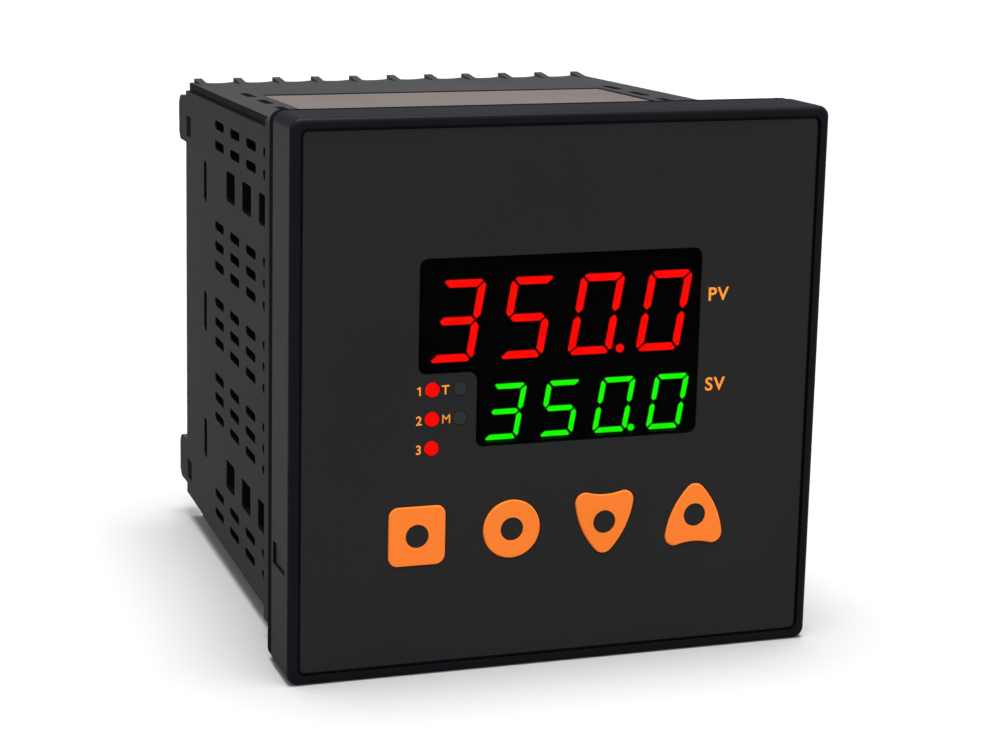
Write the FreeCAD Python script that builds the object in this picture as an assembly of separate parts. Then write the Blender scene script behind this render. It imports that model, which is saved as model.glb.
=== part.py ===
import FreeCAD, Part
import math
import os

# A panel temperature controller with a square bezel.
# Millimetres. +X is to the right and +Z up for somebody who faces the display, and -Y points at them.
# The origin is the centre of the panel cut-out, on the panel's front face.

V = FreeCAD.Vector

# Bezel
bezel_width = 96.0
bezel_height = 96.0
bezel_depth = 11.2
bezel_wall = 2.15
bezel_rim = 2.2
panel_overhang = 2.3
bezel_corner_radius = 2.0
bezel_edge_radius = 0.9
front_plate = 1.3
latch_length = 12.0
latch_width = 1.5
latch_height = 0.5
latch_from_panel = 4.4
latch_play = 0.2
overlap = 0.2
release_notch_z = -27.3
release_notch_height = 4.0
release_notch_length = 7.7
release_notch_depth = 0.4
release_notch_from_panel = 4.0
bezel_inside_radius = 0.3

# Gasket
gasket_thickness = 3.0
gasket_inset = 0.15
gasket_play = 0.1

# Printed overlay
overlay_corner_radius = 0.9
overlay_thickness = 0.5
overlay_recess = 0.2
overlay_groove = 0.55
face_play = 0.15

# Display window, an L with its foot to the left of the lower row
window_beside_upper = 2.0
window_past_upper = 0.6
window_over_upper = 4.0
window_over_lower = 2.95
window_beside_lower = 1.7
window_under_lower = 0.45
window_corner_radius = 1.5
window_thickness = 0.9
window_recess = 0.05
window_ledge = 0.25

# Digit rows
digit_slant = 9.5
upper_digit_pitch = 12.55
upper_digit_width = 8.0
upper_digit_height = 14.0
upper_digit_bar = 1.3
upper_digit_left = -23.6
upper_digit_bottom = 6.05
upper_point_size = 1.5
upper_point_past = 1.7
lower_digit_pitch = 10.0
lower_digit_width = 6.3
lower_digit_height = 9.7
lower_digit_bar = 0.9
lower_digit_left = -13.5
lower_digit_bottom = -7.95
lower_point_size = 1.2
lower_point_past = 0.95
digit_film = 0.12
module_gap = 0.05
digit_gap = 0.4
shown_value = "3500"
point_after = 3

# Display modules behind the window
module_depth = 8.0
module_margin = 0.8
upper_module_rim = 2.3
lower_module_rim = 1.3
row_gap = 0.3

# Indicator lamps to the left of the lower row
lamp_radius = 1.2
lamp_left_x = -23.15
lamp_right_x = -18.25
lamp_top_z = 1.85
lamp_pitch = 5.04
lamp_play = 0.1

# Keys
key_pitch = 17.0
key_z = -23.35
key_travel = 0.5
key_play = 0.15
key_flange = 0.8
key_flange_thickness = 0.8
key_flange_gap = 0.05
key_proud = 0.15
key_bevel = 0.2
stem_radius = 1.6
square_key_width = 10.1
square_key_height = 10.4
square_key_corner = 1.7
round_key_radius = 5.15
arrow_lobe_radius = 1.8
arrow_lobe_x = 3.6
arrow_lobe_z = -3.6
arrow_tip_radius = 1.9
arrow_tip_z = 3.75
arrow_side_radius = 15.0
arrow_base_radius = 11.0
dot_radius = 2.05
dot_depth = 0.4

# Key switches on the display board
switch_size = 6.0
switch_height = 3.4
plunger_radius = 1.7
plunger_height = 1.6
plunger_play = 0.1

# Circuit boards
board_thickness = 1.6
display_board_side_gap = 0.8
slot_board_side_gap = 0.5
slot_board_under_block = 4.1
slot_board_front_gap = 0.4
slot_board_rear_gap = 0.5
boss_radius = 2.7
boss_inset = 3.6
board_screw_radius = 1.25
board_screw_play = 0.05
board_screw_length = 6.0
board_screw_tip_room = 0.3
board_screw_head_radius = 2.3
board_screw_head = 1.6

# Case
case_length = 86.0
case_draft = 1.3
collar_step = 0.9
case_wall = 2.0
case_rear_wall = 2.2
case_corner_clip = 0.6
collar_corner_radius = 1.5
case_into_bezel = 3.0
collar_length = 11.4
rebate_height = 1.6
rebate_depth = 0.8
rail_height = 1.4
rail_reach = 1.0
rail_play = 0.1
rail_start = 3.0
rail_rear_gap = 2.0
underside_step_from_rear = 16.0
underside_step = 0.9

# Vents in both sides of the case
vent_pitch_y = 13.4
vent_first_y = 13.6
vent_columns = 4
vent_length = 8.0
vent_height = 1.8
vent_corner = 0.5
vent_pitch_z = 3.9
vent_groups = (-15.0, 0.0, 15.0)
vent_edge_row_inset = 6.4
square_vent_inset = 16.8
square_vent_height = 5.8
square_vent_length = 7.4
square_vent_offset = 3.5
square_vent_columns = 3
collar_land = 1.0
thin_vent_from_rear = 19.0
thin_vent_width = 2.8
thin_vent_height = 8.2
thin_vent_pitch = 26.0
top_vent_inset = 5.9
top_vent_first_y = 30.2
top_vent_count = 3
floor_vent_pitch_x = 8.2
floor_vent_columns = 9
floor_vent_rows = 3
back_vent_margin = 11.6
back_vent_width = 2.0
back_vent_pitch = 8.2
back_vent_count = 7

# Label seat on top of the case
label_side_margin = 9.0
label_start = 13.0
label_from_rear = 29.2
label_thickness = 0.25
label_seat_depth = 0.45
label_play = 0.3

# Latch ears behind the case
ear_inset = 7.5
ear_height = 9.2
ear_length = 6.8
ear_corner_radius = 2.4
ear_chamfer = 1.4
nose_slot_from_rear = 2.6
nose_slot_width = 4.4
nose_slot_height = 4.2
nose_slot_below_ear = 1.2
nose_play = 0.2

# Screw terminals
terminal_pitch = 8.2
cell_width = 6.9
cell_height = 12.4
block_floor = 1.1
block_roof = 1.2
block_end = 0.9
block_depth = 14.0
block_back = 1.6
block_play = 0.2
lug_width = 6.2
lug_thickness = 0.8
lug_height = 7.4
lug_tail_width = 1.2
lug_tail_reach = 1.9
lug_tail_play = 0.15
lug_below_board = 0.9
clamp_size = 6.0
clamp_thickness = 0.9
terminal_screw_radius = 1.45
terminal_screw_play = 0.1
terminal_head_radius = 2.8
terminal_head = 2.2
screw_from_floor = 3.9
finger_rib_width = 1.6
finger_rib_length = 6.5
finger_rib_height = 0.8
scallop_depth = 0.2
scallop_length = 6.0

# Parts on the slot boards
header_width = 25.4
header_length = 5.0
header_height = 5.0
chip_size = 12.0
chip_height = 1.4
chip_y = 30.0
chip_bevel = 0.2
relay_width = 15.5
relay_length = 19.0
relay_height = 15.5
relay_gap = 2.5
relay_edge_radius = 0.6
relay_rear_gap = 6.0
transformer_width = 20.0
transformer_length = 17.0
transformer_height = 18.0
transformer_limb = 5.0
transformer_inset = 19.0
transformer_from_relays = 21.0
bobbin_play = 0.3
bulk_capacitor_radius = 6.5
bulk_capacitor_height = 20.0
bulk_capacitor_inset = 29.0
bulk_capacitor_from_relays = 19.0
capacitor_bevel = 0.8
output_capacitor_radius = 4.0
output_capacitor_height = 12.0
output_capacitor_inset = 13.0
output_capacitor_from_relays = 25.0

# Widths and heights that follow from the sizes above
overlay_width = bezel_width - 2 * bezel_rim
overlay_height = bezel_height - 2 * bezel_rim
collar_width = bezel_width - 2 * panel_overhang
collar_height = bezel_height - 2 * panel_overhang
case_front_width = collar_width - 2 * collar_step
case_front_height = collar_height - 2 * collar_step
case_rear_width = case_front_width - 2 * case_draft
case_rear_height = case_front_height - 2 * case_draft
display_board_width = case_front_width - 2 * (case_wall + display_board_side_gap)
display_board_height = case_front_height - 2 * (case_wall + display_board_side_gap)
boss_x = display_board_width / 2 - boss_inset
boss_z = display_board_height / 2 - boss_inset
slot_board_width = case_rear_width - 2 * (case_wall + slot_board_side_gap)
transformer_x = transformer_inset - slot_board_width / 2
bulk_capacitor_x = slot_board_width / 2 - bulk_capacitor_inset
output_capacitor_x = slot_board_width / 2 - output_capacitor_inset
block_half_width = case_rear_width / 2 - case_wall - block_play
terminal_room = 2 * (block_half_width - block_end) + terminal_pitch - cell_width
terminal_count = int(terminal_room / terminal_pitch)
block_top = case_rear_height / 2 - case_wall - block_play
cell_floor = block_top - block_roof - cell_height
block_bottom = cell_floor - block_floor
terminal_screw_z = cell_floor + screw_from_floor
slot_board_z = block_bottom - slot_board_under_block
under_board = slot_board_z - board_thickness / 2
ear_z = case_rear_height / 2 - ear_inset
square_vent_z = case_front_height / 2 - square_vent_inset
vent_edge_z = case_front_height / 2 - vent_edge_row_inset
top_vent_x = case_rear_width / 2 - top_vent_inset
back_vent_height = 2 * (block_bottom - back_vent_margin)
label_width = case_rear_width - 2 * label_side_margin

# The window's outline, from the digit rows behind it
digit_lean = math.tan(math.radians(digit_slant))
upper_row_end = upper_digit_left + (len(shown_value) - 1) * upper_digit_pitch + upper_digit_width
window_left = upper_digit_left - window_beside_upper
window_right = upper_row_end + upper_digit_height * digit_lean + window_past_upper
window_top = upper_digit_bottom + upper_digit_height + window_over_upper
window_notch_x = lower_digit_left - window_beside_lower
window_notch_z = lower_digit_bottom + lower_digit_height + window_over_lower
window_bottom = lower_digit_bottom - window_under_lower

# Levels along Y that follow from the sizes above
bezel_back = -gasket_thickness
bezel_front = bezel_back - bezel_depth
overlay_front = bezel_front + overlay_recess
overlay_back = overlay_front + overlay_thickness
plate_back = overlay_back + front_plate
window_front = overlay_front + window_recess
window_back = window_front + window_thickness
digit_front = plate_back + module_gap
module_front = digit_front + digit_film
display_board_front = module_front + module_depth
display_board_back = display_board_front + board_thickness
slot_board_front = display_board_back + slot_board_front_gap
case_front = bezel_back - case_into_bezel
block_front = case_length - block_depth
cell_bottom_y = block_front + block_back
slot_board_back = block_front - slot_board_rear_gap
rail_end = block_front - rail_rear_gap
relay_rear_y = block_front - relay_rear_gap
relay_front_y = relay_rear_y - relay_length
thin_vent_y = case_length - thin_vent_from_rear
nose_slot_y = case_length - nose_slot_from_rear
label_end = case_length - label_from_rear
key_front = overlay_front - key_proud
flange_front = plate_back + key_flange_gap
flange_back = flange_front + key_flange_thickness
switch_front = display_board_front - switch_height
plunger_front = switch_front - plunger_height

long_cut = 200.0


def save(name, shape):
    os.makedirs("parts", exist_ok=True)
    shape.exportStep("parts/" + name + ".step")


def block(x0, x1, y0, y1, z0, z1):
    corner = V(min(x0, x1), min(y0, y1), min(z0, z1))
    return Part.makeBox(abs(x1 - x0), abs(y1 - y0), abs(z1 - z0), corner)


def along_y(wire, y0, y1):
    # A solid from a closed wire drawn in the XZ plane, between two levels of Y.
    flat = wire.copy()
    flat.translate(V(0, y0, 0))
    return Part.Face(flat).extrude(V(0, y1 - y0, 0))


def polygon_xz(points):
    corners = [V(x, 0, z) for x, z in points]
    return Part.makePolygon(corners + corners[:1])


def rounded_wire(width, height, radius, x=0.0, z=0.0, y=0.0):
    # A rectangle in the XZ plane with round corners.
    a = width / 2
    b = height / 2
    k = radius * (1 - math.sqrt(0.5))

    def at(px, pz):
        return V(x + px, y, z + pz)

    edges = []
    for sx, sz in ((1, 1), (-1, 1), (-1, -1), (1, -1)):
        side = at(sx * a, sz * (b - radius))
        top = at(sx * (a - radius), sz * b)
        middle = at(sx * (a - k), sz * (b - k))
        first, last = (side, top) if sx * sz > 0 else (top, side)
        edges.append(Part.Arc(first, middle, last).toShape())
    joined = []
    for i, edge in enumerate(edges):
        following = edges[(i + 1) % len(edges)]
        joined.append(edge)
        joined.append(Part.LineSegment(edge.Vertexes[-1].Point, following.Vertexes[0].Point).toShape())
    return Part.Wire(joined)


def disc(radius, x, z):
    circle = Part.Circle(V(x, 0, z), V(0, -1, 0), radius)
    return Part.Wire([circle.toShape()])


def rod(radius, x, z, y0, y1):
    return along_y(disc(radius, x, z), y0, y1)


def front_edges(shape, level):
    return [edge for edge in shape.Edges
            if abs(edge.BoundBox.YMin - level) < 1e-4 and abs(edge.BoundBox.YMax - level) < 1e-4]


def edges_along_x(shape, y, z):
    found = []
    for edge in shape.Edges:
        box = edge.BoundBox
        if box.YLength < 1e-4 and box.ZLength < 1e-4 and abs(box.YMin - y) < 1e-4 and abs(box.ZMin - z) < 1e-4:
            found.append(edge)
    return found


def mirrored_z(shape):
    return shape.mirror(V(0, 0, 0), V(0, 0, 1))


# Shapes on the front face


def window_points(grow):
    left = window_left - grow
    right = window_right + grow
    top = window_top + grow
    low = window_bottom - grow
    notch_x = window_notch_x - grow
    notch_z = window_notch_z - grow
    return [(left, notch_z), (notch_x, notch_z), (notch_x, low), (right, low), (right, top), (left, top)]


def window_solid(grow, y0, y1):
    solid = along_y(polygon_xz(window_points(grow)), y0, y1)
    upright = [edge for edge in solid.Edges
               if abs(edge.BoundBox.YLength - abs(y1 - y0)) < 1e-4 and edge.BoundBox.XLength < 1e-4]
    return solid.makeFillet(window_corner_radius, upright)


def tangent_point(circle, radius, centre):
    away = circle - centre
    return circle + away * (radius / away.Length)


def arrow_wire(grow):
    # The up arrow about its own centre: a round tip, two round lobes, bulged sides and a hollow base.
    tip = V(0, 0, arrow_tip_z)
    tip_radius = arrow_tip_radius + grow
    lobe = V(arrow_lobe_x, 0, arrow_lobe_z)
    lobe_radius = arrow_lobe_radius + grow
    side_radius = arrow_side_radius + grow
    base_radius = arrow_base_radius - grow
    span = lobe - tip
    to_tip = side_radius - tip_radius
    to_lobe = side_radius - lobe_radius
    along = (to_tip ** 2 - to_lobe ** 2 + span.Length ** 2) / (2 * span.Length)
    off = math.sqrt(to_tip ** 2 - along ** 2)
    unit = V(span).normalize()
    across = V(unit.z, 0, -unit.x)
    centre = tip + unit * along + across * off
    if centre.x > 0:
        centre = tip + unit * along - across * off
    side_top = tangent_point(tip, tip_radius, centre)
    side_low = tangent_point(lobe, lobe_radius, centre)
    middle_way = (side_top + side_low) * 0.5 - centre
    side_middle = centre + middle_way * (side_radius / middle_way.Length)
    base_reach = math.sqrt((base_radius + lobe_radius) ** 2 - arrow_lobe_x ** 2)
    base_centre = V(0, 0, arrow_lobe_z - base_reach)
    base_way = lobe - base_centre
    base_end = base_centre + base_way * (base_radius / base_way.Length)
    base_middle = base_centre + V(0, 0, base_radius)
    lobe_angle = math.radians(-45)
    lobe_middle = lobe + V(math.cos(lobe_angle), 0, math.sin(lobe_angle)) * lobe_radius

    def left(point):
        return V(-point.x, 0, point.z)

    arcs = [
        Part.Arc(left(side_top), tip + V(0, 0, tip_radius), side_top),
        Part.Arc(side_top, side_middle, side_low),
        Part.Arc(side_low, lobe_middle, base_end),
        Part.Arc(base_end, base_middle, left(base_end)),
        Part.Arc(left(base_end), left(lobe_middle), left(side_low)),
        Part.Arc(left(side_low), left(side_middle), left(side_top)),
    ]
    return Part.Wire([arc.toShape() for arc in arcs])


def key_wire(kind, grow):
    if kind == "square":
        corner = square_key_corner + grow
        return rounded_wire(square_key_width + 2 * grow, square_key_height + 2 * grow, corner)
    if kind == "round":
        return disc(round_key_radius + grow, 0, 0)
    wire = arrow_wire(grow)
    if kind == "down":
        wire.rotate(V(0, 0, 0), V(0, 1, 0), 180)
    return wire


key_kinds = ("square", "round", "down", "up")
key_centres = {}
for number, kind in enumerate(key_kinds):
    key_centres[kind] = (number - (len(key_kinds) - 1) / 2) * key_pitch


def key_prism(kind, grow, y0, y1):
    solid = along_y(key_wire(kind, grow), y0, y1)
    solid.translate(V(key_centres[kind], 0, key_z))
    return solid


lamp_places = {
    "output_lamp_1": (lamp_left_x, lamp_top_z),
    "output_lamp_2": (lamp_left_x, lamp_top_z - lamp_pitch),
    "output_lamp_3": (lamp_left_x, lamp_top_z - 2 * lamp_pitch),
    "tune_lamp": (lamp_right_x, lamp_top_z),
    "manual_lamp": (lamp_right_x, lamp_top_z - lamp_pitch),
}


def front_holes(y0, y1, grow):
    holes = [key_prism(kind, grow, y0, y1) for kind in key_kinds]
    for x, z in lamp_places.values():
        holes.append(rod(lamp_radius + lamp_play, x, z, y0, y1))
    return holes


# Front parts


def make_bezel():
    outline = rounded_wire(bezel_width, bezel_height, bezel_corner_radius)
    body = along_y(outline, bezel_front, bezel_back)
    body = body.makeFillet(bezel_edge_radius, front_edges(body, bezel_front))
    seat = rounded_wire(overlay_width + 2 * overlay_groove, overlay_height + 2 * overlay_groove,
                        overlay_corner_radius + overlay_groove)
    inside = rounded_wire(bezel_width - 2 * bezel_wall, bezel_height - 2 * bezel_wall, bezel_inside_radius)
    cuts = [along_y(seat, bezel_front - 1, overlay_back), along_y(inside, plate_back, 1)]
    cuts.append(window_solid(face_play, bezel_front - 1, window_back))
    cuts.append(window_solid(-window_ledge, window_back - 1, plate_back + 1))
    cuts += front_holes(bezel_front - 1, plate_back + 1, key_play)
    notch_front = -release_notch_from_panel - release_notch_length
    for side in (-1, 1):
        skin = side * bezel_width / 2
        cuts.append(block(skin - side * release_notch_depth, skin + side,
                          notch_front, -release_notch_from_panel,
                          release_notch_z - release_notch_height / 2,
                          release_notch_z + release_notch_height / 2))
    body = body.cut(cuts)
    bosses = [rod(boss_radius, x, z, plate_back, display_board_front) for x, z in boss_places()]
    body = body.fuse(bosses + bezel_latches(0.0))
    hole_end = display_board_back - board_screw_length - board_screw_tip_room
    holes = [rod(board_screw_radius + board_screw_play, x, z, hole_end, display_board_front + 1)
             for x, z in boss_places()]
    return body.cut(holes).removeSplitter()


def bezel_latches(grow):
    # A bar in the middle of each inner wall of the bezel, which clips into a pocket of the case's collar.
    inner_x = bezel_width / 2 - bezel_wall
    inner_z = bezel_height / 2 - bezel_wall
    y0 = -latch_from_panel - latch_width / 2 - grow
    y1 = -latch_from_panel + latch_width / 2 + grow
    half = latch_length / 2 + grow
    reach = latch_height + grow
    bars = []
    for side in (-1, 1):
        bars.append(block(side * (inner_x - reach), side * (inner_x + overlap), y0, y1, -half, half))
        bars.append(block(-half, half, y0, y1, side * (inner_z - reach), side * (inner_z + overlap)))
    return bars


def make_gasket():
    outer = rounded_wire(bezel_width - 2 * gasket_inset, bezel_height - 2 * gasket_inset, bezel_corner_radius)
    inner = rounded_wire(collar_width + 2 * gasket_play, collar_height + 2 * gasket_play, collar_corner_radius)
    return along_y(outer, bezel_back, 0).cut(along_y(inner, bezel_back - 1, 1))


def make_overlay():
    outline = rounded_wire(overlay_width, overlay_height, overlay_corner_radius)
    sheet = along_y(outline, overlay_front, overlay_back)
    cuts = front_holes(overlay_front - 1, overlay_back + 1, key_play)
    cuts.append(window_solid(face_play, overlay_front - 1, overlay_back + 1))
    return sheet.cut(cuts)


def make_window():
    return window_solid(0.0, window_front, window_back)


# Digits


def bars_of(width, height, bar):
    # The seven bars of one upright digit, by their usual letters.
    s = digit_gap / math.sqrt(2)
    c = bar / 4
    g = c + s
    mid = height / 2
    half = bar / 2

    def turned(points):
        return [(width - x, height - z) for x, z in points]

    def flipped(points):
        return [(width - x, z) for x, z in points]

    top = [(g, height - c), (g + c, height), (width - g - c, height), (width - g, height - c),
           (width - g - bar + c, height - bar), (g + bar - c, height - bar)]
    upper_right = [(width - c, height - g), (width, height - g - c), (width, mid + s + half),
                   (width - half, mid + s), (width - bar, mid + s + half), (width - bar, height - g - bar + c)]
    middle = [(half + s, mid), (bar + s, mid + half), (width - bar - s, mid + half),
              (width - half - s, mid), (width - bar - s, mid - half), (bar + s, mid - half)]
    upper_left = flipped(upper_right)
    return {
        "a": top,
        "b": upper_right,
        "c": turned(upper_left),
        "d": turned(top),
        "e": turned(upper_right),
        "f": upper_left,
        "g": middle,
    }


lit_bars = {"0": "abcdef", "3": "abcdg", "5": "acdfg"}


def digit_row(left, bottom, pitch, width, height, bar, point_size, point_past):

    def placed(points, x_start):
        return [(x_start + x + z * digit_lean, bottom + z) for x, z in points]

    solids = []
    bars = bars_of(width, height, bar)
    for place, digit in enumerate(shown_value):
        x_start = left + place * pitch
        for letter in lit_bars[digit]:
            outline = polygon_xz(placed(bars[letter], x_start))
            solids.append(along_y(outline, digit_front, module_front))
    point_x = left + (point_after - 1) * pitch + width + point_past
    solids.append(rod(point_size / 2, point_x, bottom + point_size / 2, digit_front, module_front))
    return Part.makeCompound(solids)


def upper_digits():
    return digit_row(upper_digit_left, upper_digit_bottom, upper_digit_pitch,
                     upper_digit_width, upper_digit_height, upper_digit_bar,
                     upper_point_size, upper_point_past)


def lower_digits():
    return digit_row(lower_digit_left, lower_digit_bottom, lower_digit_pitch,
                     lower_digit_width, lower_digit_height, lower_digit_bar,
                     lower_point_size, lower_point_past)


def module_box(left, pitch, width, bottom, height, rim):
    x0 = left - module_margin
    x1 = left + (len(shown_value) - 1) * pitch + width + height * digit_lean + module_margin
    return block(x0, x1, module_front, display_board_front, bottom - rim, bottom + height + rim)


def upper_module():
    return module_box(upper_digit_left, upper_digit_pitch, upper_digit_width,
                      upper_digit_bottom, upper_digit_height, upper_module_rim)


def lower_module():
    solid = module_box(lower_digit_left, lower_digit_pitch, lower_digit_width,
                       lower_digit_bottom, lower_digit_height, lower_module_rim)
    limit = upper_module().BoundBox.ZMin - row_gap
    keep = block(-long_cut, long_cut, -long_cut, long_cut, -long_cut, limit)
    return solid.common(keep)


# Lamps, keys and switches


def make_lamp(x, z):
    return rod(lamp_radius, x, z, overlay_front, display_board_front)


def make_key(kind):
    cap = key_prism(kind, 0.0, key_front, flange_back)
    cap = cap.makeChamfer(key_bevel, front_edges(cap, key_front))
    flange = key_prism(kind, key_flange, flange_front, flange_back)
    x = key_centres[kind]
    stem = rod(stem_radius, x, key_z, flange_back, plunger_front)
    seat = rod(dot_radius, x, key_z, key_front - 1, key_front + dot_depth)
    return cap.fuse([flange, stem]).cut(seat).removeSplitter()


def make_dot(kind):
    return rod(dot_radius, key_centres[kind], key_z, key_front + dot_depth / 4, key_front + dot_depth)


def make_plunger(kind):
    return rod(plunger_radius, key_centres[kind], key_z, plunger_front, switch_front)


def make_switch(kind):
    x = key_centres[kind]
    half = switch_size / 2
    body = block(x - half, x + half, switch_front, display_board_front, key_z - half, key_z + half)
    well_end = switch_front + key_travel + plunger_play
    well = rod(plunger_radius + plunger_play, x, key_z, switch_front - 1, well_end)
    return body.cut(well)


def boss_places():
    return [(sx * boss_x, sz * boss_z) for sx in (-1, 1) for sz in (-1, 1)]


def make_display_board():
    half_width = display_board_width / 2
    half_height = display_board_height / 2
    board = block(-half_width, half_width, display_board_front, display_board_back, -half_height, half_height)
    holes = [rod(board_screw_radius + board_screw_play, x, z, display_board_front - 1, display_board_back + 1)
             for x, z in boss_places()]
    return board.cut(holes)


def make_board_screws():
    screws = []
    tip = display_board_back - board_screw_length
    for x, z in boss_places():
        shank = rod(board_screw_radius, x, z, tip, display_board_back)
        head = rod(board_screw_head_radius, x, z, display_board_back, display_board_back + board_screw_head)
        screws.append(shank.fuse(head).removeSplitter())
    return Part.makeCompound(screws)


# Case


def width_at(y):
    return case_front_width + (case_rear_width - case_front_width) * y / case_length


def height_at(y):
    return case_front_height + (case_rear_height - case_front_height) * y / case_length


def clipped_outline(width, height, clip):
    a = width / 2
    b = height / 2
    return [(a, b - clip), (a - clip, b), (clip - a, b), (-a, b - clip),
            (-a, clip - b), (clip - a, -b), (a - clip, -b), (a, clip - b)]


def tapered(inset, y0, y1):
    # The case's tapering outline, set in all round, with clipped corners.
    wires = []
    for y in (y0, y1):
        outline = clipped_outline(width_at(y) - 2 * inset, height_at(y) - 2 * inset, case_corner_clip)
        corners = [V(x, y, z) for x, z in outline]
        wires.append(Part.makePolygon(corners + corners[:1]))
    return Part.makeLoft(wires, True, True)


def slab_on_top(x0, x1, y0, y1, below, above):
    # A slab that follows the sloping top of the case, from so far below it to so far above it.
    corners = []
    for y, rise in ((y0, -below), (y1, -below), (y1, above), (y0, above)):
        corners.append(V(x0, y, height_at(y) / 2 + rise))
    face = Part.Face(Part.makePolygon(corners + corners[:1]))
    return face.extrude(V(x1 - x0, 0, 0))


def edge_rebates():
    # The step along both upper edges of the case, from the collar to the rear.
    cutters = []
    for side in (-1, 1):
        wires = []
        for y in (collar_length, case_length + 1):
            x_in = side * (width_at(y) / 2 - rebate_depth)
            x_out = side * (width_at(y) / 2 + 1)
            z_low = height_at(y) / 2 - rebate_height
            z_high = height_at(y) / 2 + 1
            corners = [V(x_in, y, z_low), V(x_out, y, z_low), V(x_out, y, z_high), V(x_in, y, z_high)]
            wires.append(Part.makePolygon(corners + corners[:1]))
        cutters.append(Part.makeLoft(wires, True, True))
    return cutters


def slot_prism(length, height, corner, normal):
    # A slot with clipped corners: length along Y for a side wall or floor, and height across it.
    outline = clipped_outline(length, height, corner)
    if normal == "x":
        corners = [V(0, y, z) for y, z in outline]
        way = V(long_cut, 0, 0)
    else:
        corners = [V(x, y, 0) for y, x in outline]
        way = V(0, 0, long_cut / 2)
    return Part.Face(Part.makePolygon(corners + corners[:1])).extrude(way)


def moved(shape, x, y, z):
    copy = shape.copy()
    copy.translate(V(x, y, z))
    return copy


def side_vents():
    # The openings of the right side. The front column stops short of the collar.
    open_from = collar_length + collar_land
    vents = []
    rows = [side * (vent_edge_z - inward) for side in (-1, 1) for inward in (0, vent_pitch_z)]
    for group in vent_groups:
        rows += [group - vent_pitch_z, group, group + vent_pitch_z]
    for column in range(vent_columns):
        middle = vent_first_y + column * vent_pitch_y
        start = max(middle - vent_length / 2, open_from)
        end = middle + vent_length / 2
        slot = slot_prism(end - start, vent_height, vent_corner, "x")
        for z in rows:
            vents.append(moved(slot, 0, (start + end) / 2, z))
    for column in range(square_vent_columns):
        middle = vent_first_y + column * vent_pitch_y + square_vent_offset
        start = max(middle - square_vent_length / 2, open_from)
        end = middle + square_vent_length / 2
        square = slot_prism(end - start, square_vent_height, vent_corner, "x")
        for z in (-square_vent_z, square_vent_z):
            vents.append(moved(square, 0, (start + end) / 2, z))
    thin = slot_prism(thin_vent_width, thin_vent_height, thin_vent_width / 4, "x")
    for step in (-1, 0, 1):
        vents.append(moved(thin, 0, thin_vent_y, step * thin_vent_pitch))
    return vents


def top_vents():
    slot = slot_prism(vent_length, vent_height, vent_corner, "z")
    vents = []
    for count in range(top_vent_count):
        vents.append(moved(slot, top_vent_x, top_vent_first_y + count * vent_pitch_y, 0))
    return vents


def floor_vents():
    slot = block(-vent_height / 2, vent_height / 2, -vent_length / 2, vent_length / 2, -long_cut / 2, 0)
    vents = []
    for column in range(floor_vent_columns // 2 + 1):
        x = column * floor_vent_pitch_x
        for row in range(floor_vent_rows):
            y = vent_first_y + (row + 1) * vent_pitch_y
            vents.append(moved(slot, x, y, 0))
    return vents


def back_vents():
    vents = []
    for count in range(back_vent_count // 2 + 1):
        x = count * back_vent_pitch
        vents.append(block(x - back_vent_width / 2, x + back_vent_width / 2,
                           case_length - case_rear_wall - 1, case_length + 1,
                           -back_vent_height / 2, back_vent_height / 2))
    return vents


def board_rails():
    # Pairs of ribs inside the right side of the case, which guide the two slot boards.
    rails = []
    half_gap = board_thickness / 2 + rail_play
    tip = slot_board_width / 2 - rail_reach
    wall = width_at(rail_start) / 2
    for level in (-slot_board_z, slot_board_z):
        for z0 in (level + half_gap, level - half_gap - rail_height):
            rails.append(block(tip, wall, rail_start, rail_end, z0, z0 + rail_height))
    keep = tapered(case_wall / 2, case_front, case_length)
    return [rail.common(keep) for rail in rails]


def make_ear(level):
    # A tab of the right side wall that reaches out behind the case.
    y0 = case_length - 1
    y1 = case_length + ear_length
    z0 = level - ear_height / 2
    z1 = level + ear_height / 2
    outer = case_rear_width / 2
    ear = block(outer - case_wall, outer, y0, y1, z0, z1)
    ear = ear.makeFillet(ear_corner_radius, edges_along_x(ear, y1, z1))
    return ear.makeChamfer(ear_chamfer, edges_along_x(ear, y1, z0))


def finger_ribs():
    # Small ramps on the rear edge of the top, one between each pair of terminals.
    ribs = []
    for count in range(terminal_count + 1):
        x = (count - terminal_count / 2) * terminal_pitch
        y0 = case_length - finger_rib_length
        top = height_at(case_length) / 2
        corners = [V(x - finger_rib_width / 2, y0, height_at(y0) / 2),
                   V(x - finger_rib_width / 2, case_length, top + finger_rib_height),
                   V(x - finger_rib_width / 2, case_length, top - case_wall / 2),
                   V(x - finger_rib_width / 2, y0, height_at(y0) / 2 - case_wall / 2)]
        face = Part.Face(Part.makePolygon(corners + corners[:1]))
        ribs.append(face.extrude(V(finger_rib_width, 0, 0)))
    return ribs


def rear_scallops():
    # Shallow hollows between the ramps, deepest at the rear edge.
    half = (terminal_pitch - finger_rib_width) / 2
    radius = (half ** 2 + scallop_depth ** 2) / (2 * scallop_depth)
    slope = math.degrees(math.atan(scallop_depth / scallop_length))
    top = height_at(case_length) / 2
    hollows = []
    for x in terminal_xs():
        y0 = case_length - 2 * scallop_length
        cutter = Part.makeCylinder(radius, 3 * scallop_length, V(x, y0, 0), V(0, 1, 0))
        cutter.rotate(V(x, case_length, 0), V(1, 0, 0), -slope)
        cutter.translate(V(0, 0, top + radius - scallop_depth))
        hollows.append(cutter)
    return hollows


def terminal_xs():
    return [(i - (terminal_count - 1) / 2) * terminal_pitch for i in range(terminal_count)]


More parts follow.
